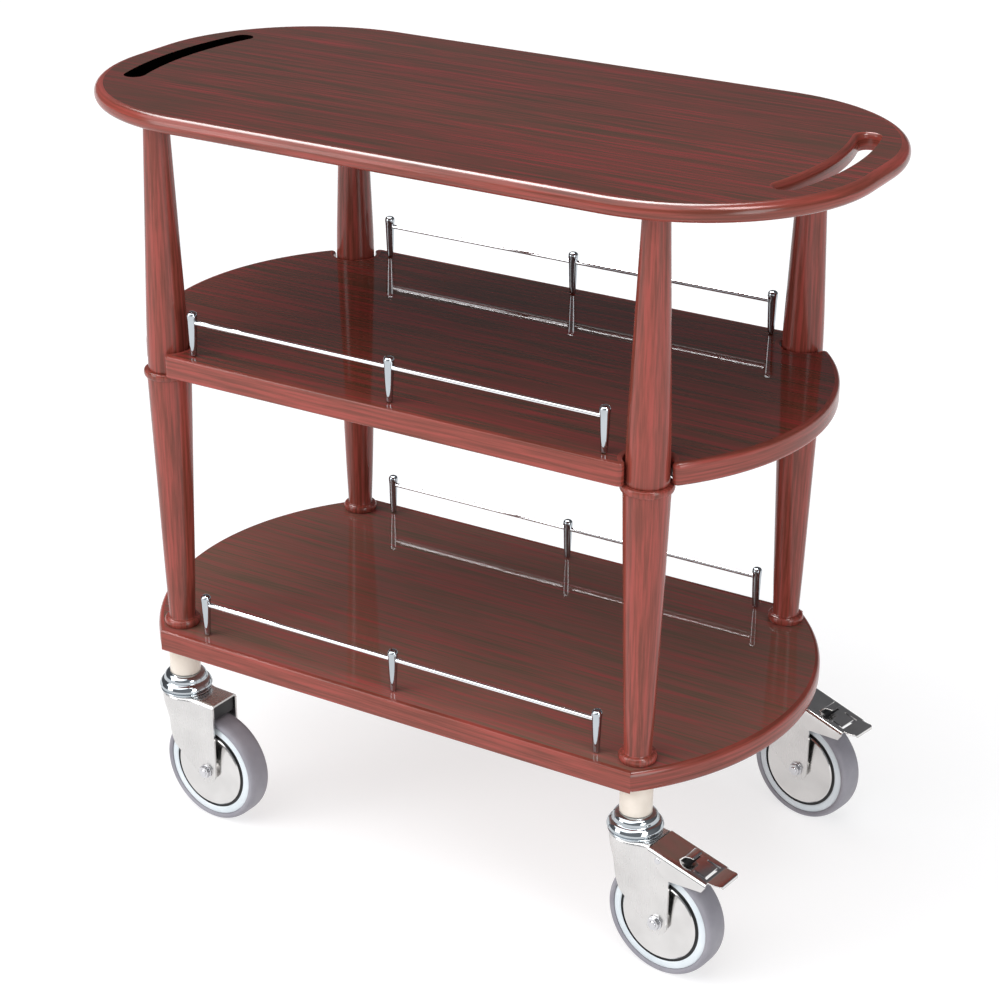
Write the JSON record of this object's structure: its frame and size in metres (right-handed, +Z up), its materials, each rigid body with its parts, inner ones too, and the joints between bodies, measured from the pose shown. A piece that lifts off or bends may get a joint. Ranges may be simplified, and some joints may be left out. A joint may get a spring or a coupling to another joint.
{
  "type": "food service trolley",
  "caption": "Wooden restaurant service trolley with a rounded top, open shelves on turned legs, chrome gallery rails and swivel casters, some with brakes.",
  "frame": {"origin": "on the floor under the middle of the trolley", "axes": "+X along the long side towards the braked casters, +Y towards the rear long side, +Z up"},
  "size_m": [0.866, 0.432, 0.82],
  "materials": {
    "laminate": "gloss lacquered dark mahogany veneer",
    "solid_wood": "gloss lacquered reddish-brown hardwood",
    "chrome": "polished",
    "stainless": "pressed stainless steel sheet",
    "cream_plastic": "satin cream",
    "rubber": "grey rubber",
    "wheel_plastic": "pale moulded plastic",
    "steel": "zinc-plated"
  },
  "bodies": {
    "trolley_frame": {"top_panel": "laminate", "top_edge_band": "solid_wood", "middle_shelf_panel": "laminate", "middle_shelf_edge_band": "solid_wood", "lower_shelf_panel": "laminate", "lower_shelf_edge_band": "solid_wood", "lower_leg_front_left": "solid_wood", "upper_leg_front_left": "solid_wood", "leg_rod_front_left": "steel", "lower_leg_front_right": "solid_wood", "upper_leg_front_right": "solid_wood", "leg_rod_front_right": "steel", "lower_leg_rear_left": "solid_wood", "upper_leg_rear_left": "solid_wood", "leg_rod_rear_left": "steel", "lower_leg_rear_right": "solid_wood", "upper_leg_rear_right": "solid_wood", "leg_rod_rear_right": "steel", "gallery_rail_middle_front": "chrome", "gallery_post_middle_front_left": "chrome", "gallery_post_middle_front_centre": "chrome", "gallery_post_middle_front_right": "chrome", "gallery_rail_middle_rear": "chrome", "gallery_post_middle_rear_left": "chrome", "gallery_post_middle_rear_centre": "chrome", "gallery_post_middle_rear_right": "chrome", "gallery_rail_lower_front": "chrome", "gallery_post_lower_front_left": "chrome", "gallery_post_lower_front_centre": "chrome", "gallery_post_lower_front_right": "chrome", "gallery_rail_lower_rear": "chrome", "gallery_post_lower_rear_left": "chrome", "gallery_post_lower_rear_centre": "chrome", "gallery_post_lower_rear_right": "chrome", "caster_sleeve_front_left": "cream_plastic", "caster_bearing_front_left": "chrome", "caster_sleeve_front_right": "cream_plastic", "caster_bearing_front_right": "chrome", "caster_sleeve_rear_left": "cream_plastic", "caster_bearing_rear_left": "chrome", "caster_sleeve_rear_right": "cream_plastic", "caster_bearing_rear_right": "chrome"},
    "swivel_front_left": {"caster_fork_front_left": "stainless", "wheel_axle_front_left": "steel"},
    "wheel_front_left": {"wheel_tyre_front_left": "rubber", "wheel_core_front_left": "wheel_plastic"},
    "swivel_front_right": {"caster_fork_front_right": "stainless", "wheel_axle_front_right": "steel"},
    "wheel_front_right": {"wheel_tyre_front_right": "rubber", "wheel_core_front_right": "wheel_plastic"},
    "pedal_front_right": {"brake_pedal_front_right": "stainless"},
    "swivel_rear_left": {"caster_fork_rear_left": "stainless", "wheel_axle_rear_left": "steel"},
    "wheel_rear_left": {"wheel_tyre_rear_left": "rubber", "wheel_core_rear_left": "wheel_plastic"},
    "swivel_rear_right": {"caster_fork_rear_right": "stainless", "wheel_axle_rear_right": "steel"},
    "wheel_rear_right": {"wheel_tyre_rear_right": "rubber", "wheel_core_rear_right": "wheel_plastic"},
    "pedal_rear_right": {"brake_pedal_rear_right": "stainless"}
  },
  "joints": [
    {"name": "swivel_front_left", "type": "hinge", "parent": "trolley_frame", "child": "swivel_front_left", "pos_m": [-0.285, -0.1777, 0.148], "axis": [0, 0, 1], "continuous": true},
    {"name": "wheel_spin_front_left", "type": "hinge", "parent": "swivel_front_left", "child": "wheel_front_left", "pos_m": [-0.2431, -0.18063, 0.0635], "axis": [0.0698, 0.9976, 0], "continuous": true},
    {"name": "swivel_front_right", "type": "hinge", "parent": "trolley_frame", "child": "swivel_front_right", "pos_m": [0.285, -0.1777, 0.148], "axis": [0, 0, 1], "continuous": true},
    {"name": "wheel_spin_front_right", "type": "hinge", "parent": "swivel_front_right", "child": "wheel_front_right", "pos_m": [0.32669, -0.18282, 0.0635], "axis": [0.1219, 0.9925, 0], "continuous": true},
    {"name": "brake_pedal_front_right", "type": "hinge", "parent": "swivel_front_right", "child": "pedal_front_right", "pos_m": [0.32768, -0.18294, 0.1385], "axis": [0.1219, 0.9925, 0], "range_deg": [0, 8.5]},
    {"name": "swivel_rear_left", "type": "hinge", "parent": "trolley_frame", "child": "swivel_rear_left", "pos_m": [-0.285, 0.1777, 0.148], "axis": [0, 0, 1], "continuous": true},
    {"name": "wheel_spin_rear_left", "type": "hinge", "parent": "swivel_rear_left", "child": "wheel_rear_left", "pos_m": [-0.24323, 0.17331, 0.0635], "axis": [0.1045, 0.9945, 0], "continuous": true},
    {"name": "swivel_rear_right", "type": "hinge", "parent": "trolley_frame", "child": "swivel_rear_right", "pos_m": [0.285, 0.1777, 0.148], "axis": [0, 0, 1], "continuous": true},
    {"name": "wheel_spin_rear_right", "type": "hinge", "parent": "swivel_rear_right", "child": "wheel_rear_right", "pos_m": [0.32608, 0.16897, 0.0635], "axis": [0.2079, 0.9781, 0], "continuous": true},
    {"name": "brake_pedal_rear_right", "type": "hinge", "parent": "swivel_rear_right", "child": "pedal_rear_right", "pos_m": [0.32706, 0.16876, 0.1385], "axis": [0.2079, 0.9781, 0], "range_deg": [0, 8.5]}
  ]
}
